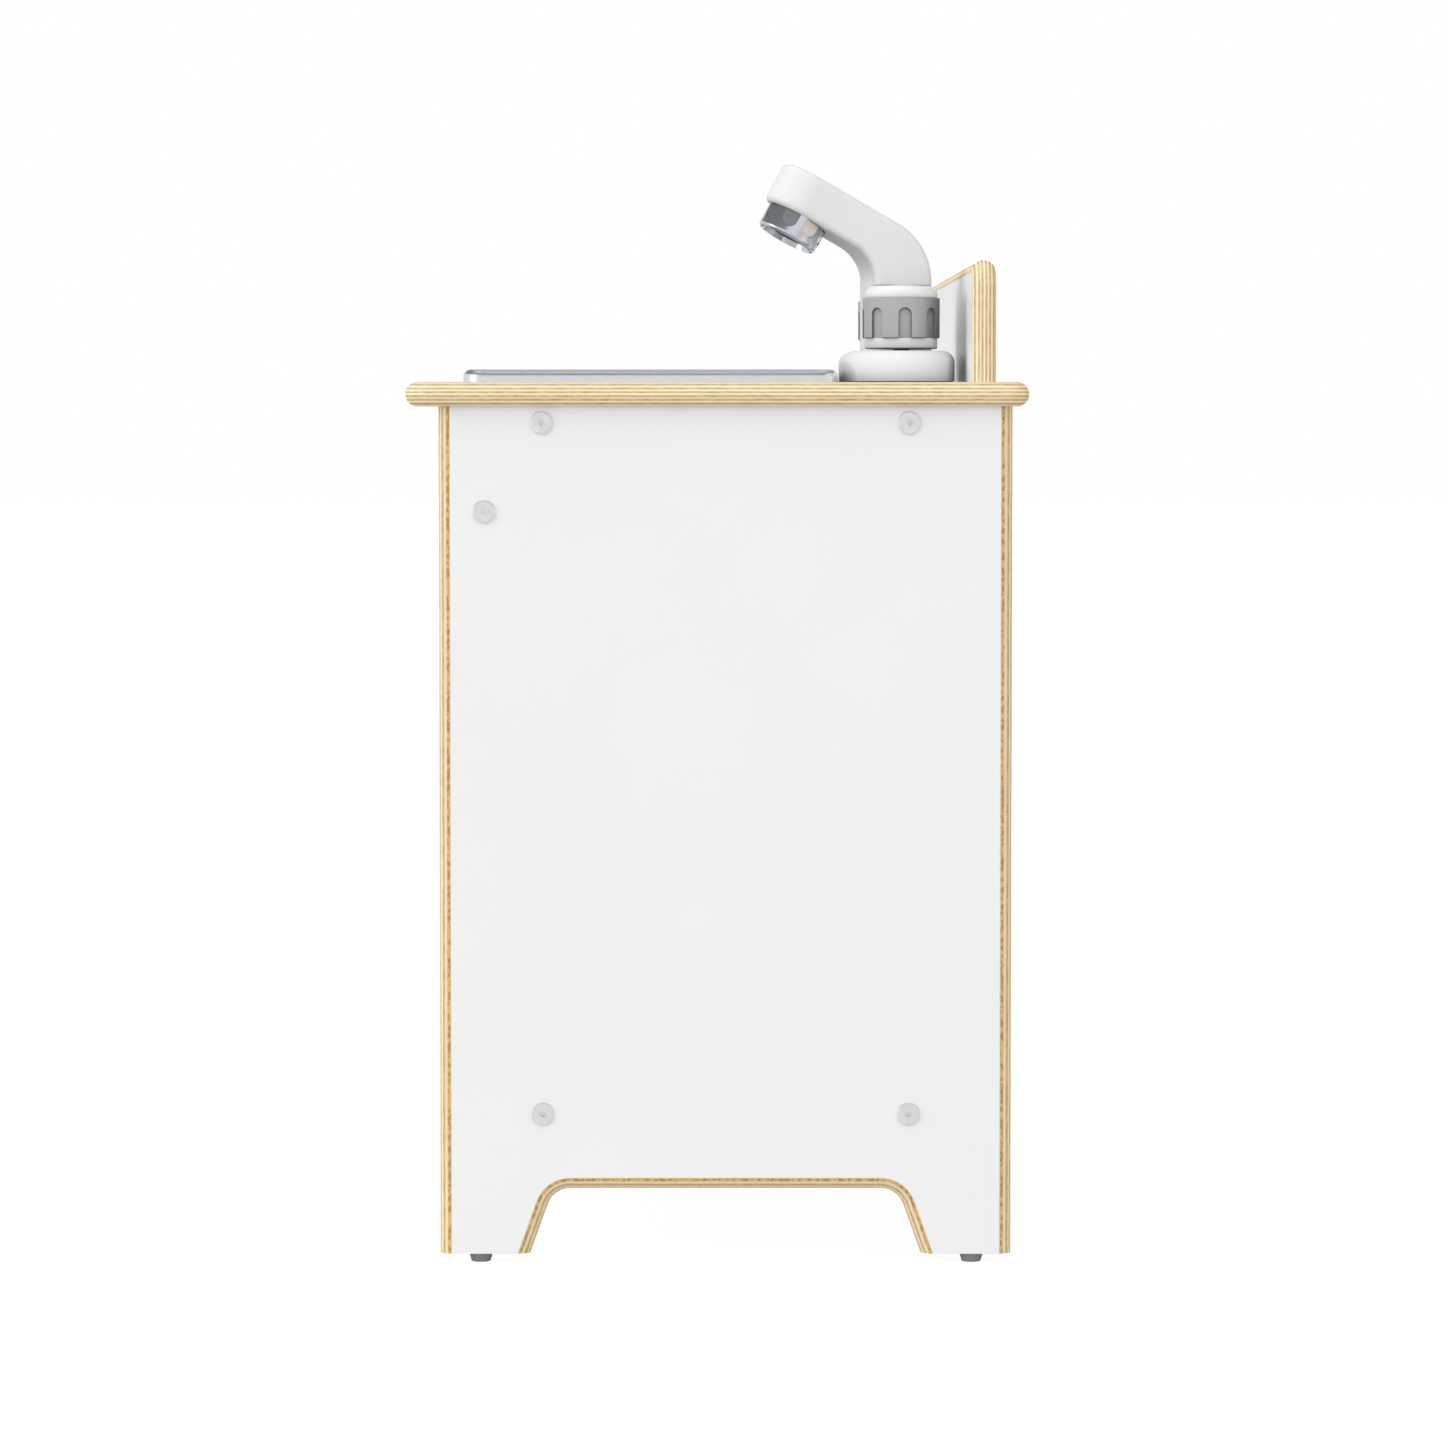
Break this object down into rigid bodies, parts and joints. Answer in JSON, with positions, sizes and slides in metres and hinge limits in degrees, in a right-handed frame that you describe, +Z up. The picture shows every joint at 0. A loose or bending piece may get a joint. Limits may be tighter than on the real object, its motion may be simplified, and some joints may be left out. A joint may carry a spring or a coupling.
{
  "type": "toy kitchen",
  "caption": "Free-standing child's play kitchen in white-faced plywood with a sink, swivelling tap, hob, drop-down oven door and cupboard.",
  "frame": {"origin": "middle of the bounding box's footprint, on the floor under the feet", "axes": "+X to the right seen from the front, -Y out of the doors, +Z up"},
  "size_m": [0.824, 0.46, 0.8198],
  "materials": {
    "faced_plywood": "satin white laminate on birch plywood, oiled ply edges",
    "birch_batten": "planed birch",
    "basin_steel": "brushed",
    "zinc_steel": "zinc plated",
    "handle_steel": "satin",
    "white_plastic": "satin gloss",
    "grey_grip": "soft matt",
    "grey_plastic": "matt",
    "chrome": "polished",
    "rubber_seal": "matt",
    "hob_enamel": "satin enamel",
    "dial_face": null,
    "window_clear": "clear acrylic sheet"
  },
  "bodies": {
    "cabinet": {"side_panel_left": "faced_plywood", "side_panel_right": "faced_plywood", "worktop": "faced_plywood", "backsplash": "faced_plywood", "bottom_shelf": "faced_plywood", "centre_divider": "faced_plywood", "front_fascia": "faced_plywood", "back_panel": "faced_plywood", "cleat_left": "birch_batten", "cleat_middle": "birch_batten", "cleat_right": "birch_batten", "cabinet_shelf": "faced_plywood", "shelf_pins": "zinc_steel", "rack_runner_left": "birch_batten", "rack_runner_right": "birch_batten", "magnet_catches": "grey_plastic", "foot_glides": "grey_plastic", "panel_bolts": "zinc_steel", "barrel_nuts": "zinc_steel", "worktop_screws": "zinc_steel", "backsplash_screws": "zinc_steel", "divider_screws": "zinc_steel", "back_panel_screws": "zinc_steel", "tap_screws": "zinc_steel", "oven_hinge_pins": "zinc_steel", "cabinet_hinge_pins": "zinc_steel", "tap_base": "white_plastic", "tap_gasket": "rubber_seal", "hob_plate": "hob_enamel", "burner_large": "hob_enamel", "burner_small": "hob_enamel", "control_dials": "dial_face"},
    "sink": {"sink_basin": "basin_steel", "sink_strainer": "basin_steel"},
    "spout": {"spout": "white_plastic", "aerator_housing": "chrome", "aerator_insert": "grey_plastic", "spout_clip": "zinc_steel"},
    "hot_knob": {"hot_knob": "white_plastic", "hot_knob_grip": "grey_grip", "hot_knob_clip": "zinc_steel"},
    "cold_knob": {"cold_knob": "white_plastic", "cold_knob_grip": "grey_grip", "cold_knob_clip": "zinc_steel"},
    "control_knob_left": {"control_knob_left": "grey_grip"},
    "control_knob_middle": {"control_knob_middle": "grey_grip"},
    "control_knob_right": {"control_knob_right": "grey_grip"},
    "oven_door": {"oven_door": "faced_plywood", "oven_window": "window_clear", "window_retainer": "zinc_steel", "oven_handle": "handle_steel", "oven_handle_screws": "zinc_steel", "oven_striker": "zinc_steel", "oven_hinge_bushes": "grey_plastic"},
    "oven_rack": {"oven_rack": "chrome"},
    "cabinet_door": {"cabinet_door": "faced_plywood", "cabinet_handle": "handle_steel", "cabinet_handle_screws": "zinc_steel", "cabinet_striker": "zinc_steel", "cabinet_hinge_bushes": "grey_plastic"}
  },
  "joints": [
    {"name": "spout_swivel", "type": "hinge", "parent": "cabinet", "child": "spout", "pos_m": [0.23, 0.137, 0.7], "axis": [0, 0, 1], "range_deg": [-72, 48]},
    {"name": "hot_knob_turn", "type": "hinge", "parent": "cabinet", "child": "hot_knob", "pos_m": [0.167, 0.139, 0.7], "axis": [0, 0, 1], "continuous": true},
    {"name": "cold_knob_turn", "type": "hinge", "parent": "cabinet", "child": "cold_knob", "pos_m": [0.293, 0.139, 0.7], "axis": [0, 0, 1], "continuous": true},
    {"name": "sink_lift", "type": "slide", "parent": "cabinet", "child": "sink", "axis": [0, 0, 1], "range_m": [0, 0.08]},
    {"name": "control_left_turn", "type": "hinge", "parent": "cabinet", "child": "control_knob_left", "pos_m": [-0.281, -0.19, 0.5575], "axis": [0, 1, 0], "range_deg": [0, 270]},
    {"name": "control_middle_turn", "type": "hinge", "parent": "cabinet", "child": "control_knob_middle", "pos_m": [-0.161, -0.19, 0.5575], "axis": [0, 1, 0], "range_deg": [0, 270]},
    {"name": "control_right_turn", "type": "hinge", "parent": "cabinet", "child": "control_knob_right", "pos_m": [-0.041, -0.19, 0.5575], "axis": [0, 1, 0], "range_deg": [0, 270]},
    {"name": "oven_door_drop", "type": "hinge", "parent": "cabinet", "child": "oven_door", "pos_m": [-0.161, -0.172, 0.131], "axis": [1, 0, 0], "range_deg": [0, 90]},
    {"name": "rack_slide", "type": "slide", "parent": "cabinet", "child": "oven_rack", "axis": [0, -1, 0], "range_m": [-0.02, 0.03]},
    {"name": "cabinet_door_swing", "type": "hinge", "parent": "cabinet", "child": "cabinet_door", "pos_m": [0.371, -0.172, 0.3], "axis": [0, 0, 1], "range_deg": [0, 90]}
  ]
}
